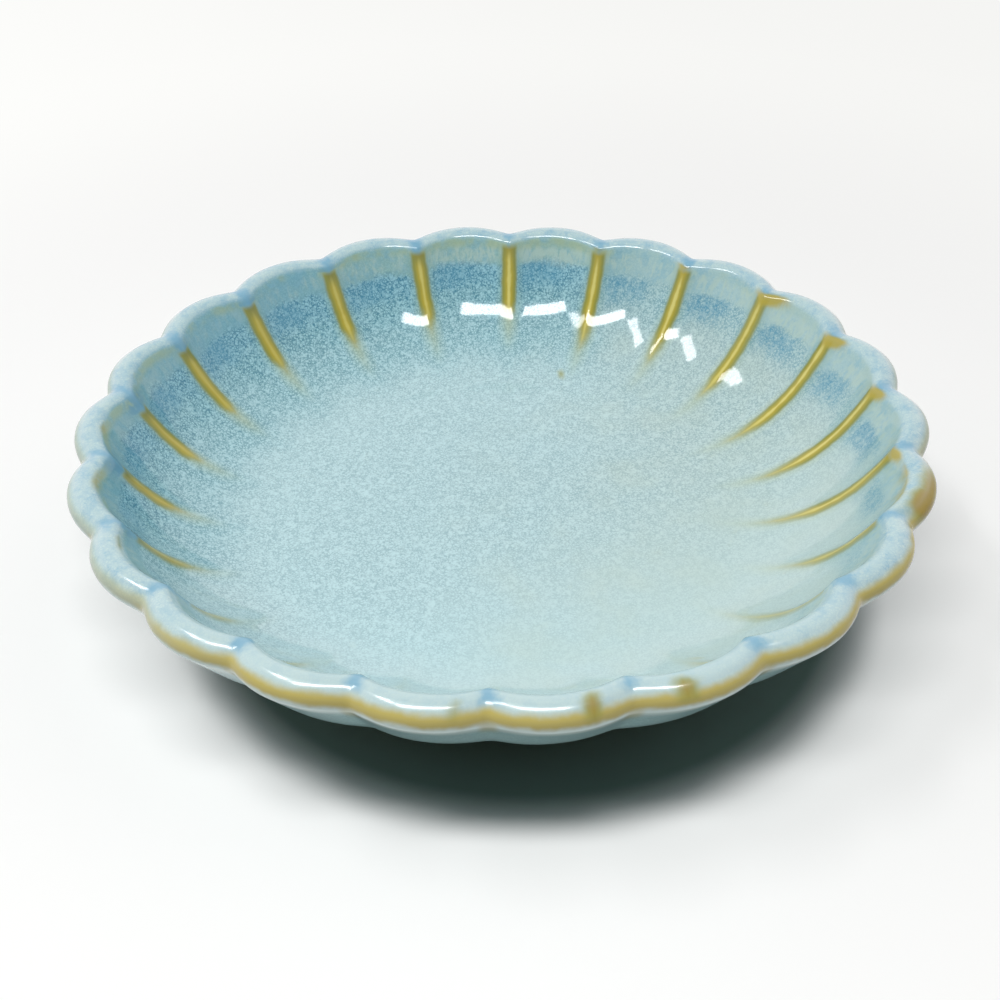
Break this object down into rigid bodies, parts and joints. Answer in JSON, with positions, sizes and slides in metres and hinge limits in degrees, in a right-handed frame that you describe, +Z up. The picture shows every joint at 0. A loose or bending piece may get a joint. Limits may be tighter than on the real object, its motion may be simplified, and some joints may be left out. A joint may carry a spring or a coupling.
{
  "type": "soy sauce dish",
  "caption": "Small round dish with a scalloped petal rim, ridged coved wall, flat well and bare foot ring, in glossy pale blue reactive glaze.",
  "frame": {"origin": "on the table under the dish's centre, at the middle of the foot ring's flat face", "axes": "+Z up along the axis of the dish, +X through a petal crest of the rim"},
  "size_m": [0.1, 0.099, 0.0215],
  "materials": {
    "clay": "fired stoneware, unglazed, matt and slightly gritty",
    "foot_clay": "bare fired stoneware, turned and worn smooth where it stands",
    "glaze": "glossy reactive glaze, pale aqua with blue pools, breaking amber over the ridges and the outer lip",
    "base_glaze": "glossy reactive glaze, pale aqua, thinner than on the well"
  },
  "bodies": {
    "root": {"clay_body": "clay", "foot_ring": "foot_clay", "glaze_coat": "glaze", "base_glaze": "base_glaze"}
  },
  "joints": []
}
